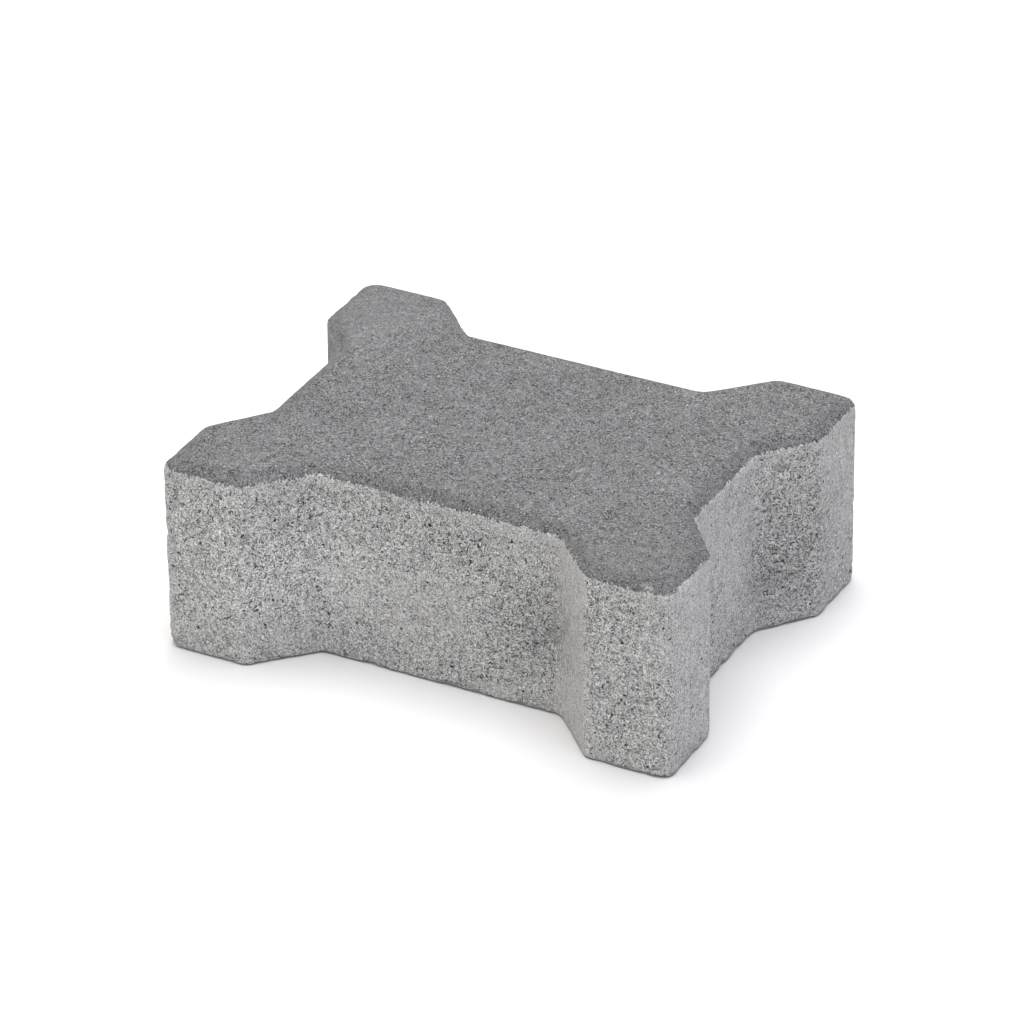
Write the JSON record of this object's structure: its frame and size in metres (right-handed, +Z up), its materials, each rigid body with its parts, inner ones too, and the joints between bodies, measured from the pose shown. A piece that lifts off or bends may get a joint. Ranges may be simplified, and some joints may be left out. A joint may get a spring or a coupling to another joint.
{
  "type": "interlocking concrete paving stone",
  "caption": "Thick grey concrete paver with a trapezoidal notch in each side, so neighbouring stones interlock; bevelled wearing face.",
  "frame": {"origin": "centre of the bed face, the flat face that lies on the sand bed", "axes": "+X along the stone's length, +Y along its width, +Z up from the bed face to the wearing face"},
  "size_m": [0.21, 0.162, 0.08],
  "materials": {
    "concrete": "rough pressed concrete"
  },
  "bodies": {
    "root": {"paving_stone": "concrete"}
  },
  "joints": []
}
